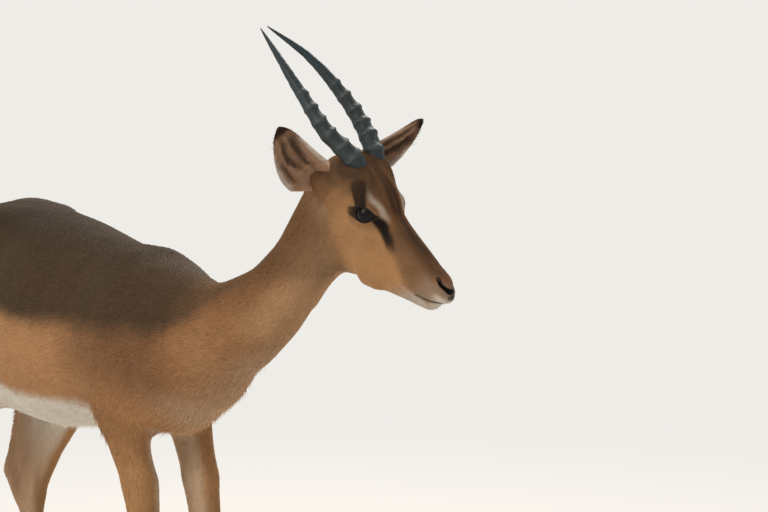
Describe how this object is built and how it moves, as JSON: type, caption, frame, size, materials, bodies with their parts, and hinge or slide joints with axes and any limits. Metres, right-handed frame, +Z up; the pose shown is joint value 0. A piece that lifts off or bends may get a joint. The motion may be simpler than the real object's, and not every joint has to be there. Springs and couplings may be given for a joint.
{
  "type": "impala antelope",
  "caption": "Life-size young male impala antelope standing on four hooves with its head turned slightly to its left, short ringed horns, large ears and a two-tone tan coat",
  "frame": {"origin": "on the ground under the middle of the bounding box", "axes": "+X forward from tail to chest, +Y to the animal's left, +Z up"},
  "size_m": [1.1392, 0.3646, 1.0895],
  "materials": {
    "saddle_coat": "short close hair, red-brown",
    "fawn_coat": "short close hair, light tan",
    "face_coat": "very short smooth hair, light tan",
    "ear_coat": "thin hair with black tip",
    "leg_coat": "very short hair, pale tan",
    "tail_coat": "long white hair with a dark midline",
    "horn": "satin, ringed near the base",
    "hoof": "satin, fine growth lines",
    "eye": "wet gloss"
  },
  "bodies": {
    "root": {"trunk": "saddle_coat", "neck": "fawn_coat", "head": "face_coat", "tail": "tail_coat", "eye_left": "eye", "horn_left": "horn", "ear_left": "ear_coat", "foreleg_left": "fawn_coat", "forecannon_left": "leg_coat", "forepastern_left": "leg_coat", "forehoof_left_outer": "hoof", "forehoof_left_inner": "hoof", "thigh_left": "fawn_coat", "shank_left": "leg_coat", "hindcannon_left": "leg_coat", "hindpastern_left": "leg_coat", "hindhoof_left_outer": "hoof", "hindhoof_left_inner": "hoof", "eye_right": "eye", "horn_right": "horn", "ear_right": "ear_coat", "foreleg_right": "fawn_coat", "forecannon_right": "leg_coat", "forepastern_right": "leg_coat", "forehoof_right_outer": "hoof", "forehoof_right_inner": "hoof", "thigh_right": "fawn_coat", "shank_right": "leg_coat", "hindcannon_right": "leg_coat", "hindpastern_right": "leg_coat", "hindhoof_right_outer": "hoof", "hindhoof_right_inner": "hoof"}
  },
  "joints": []
}
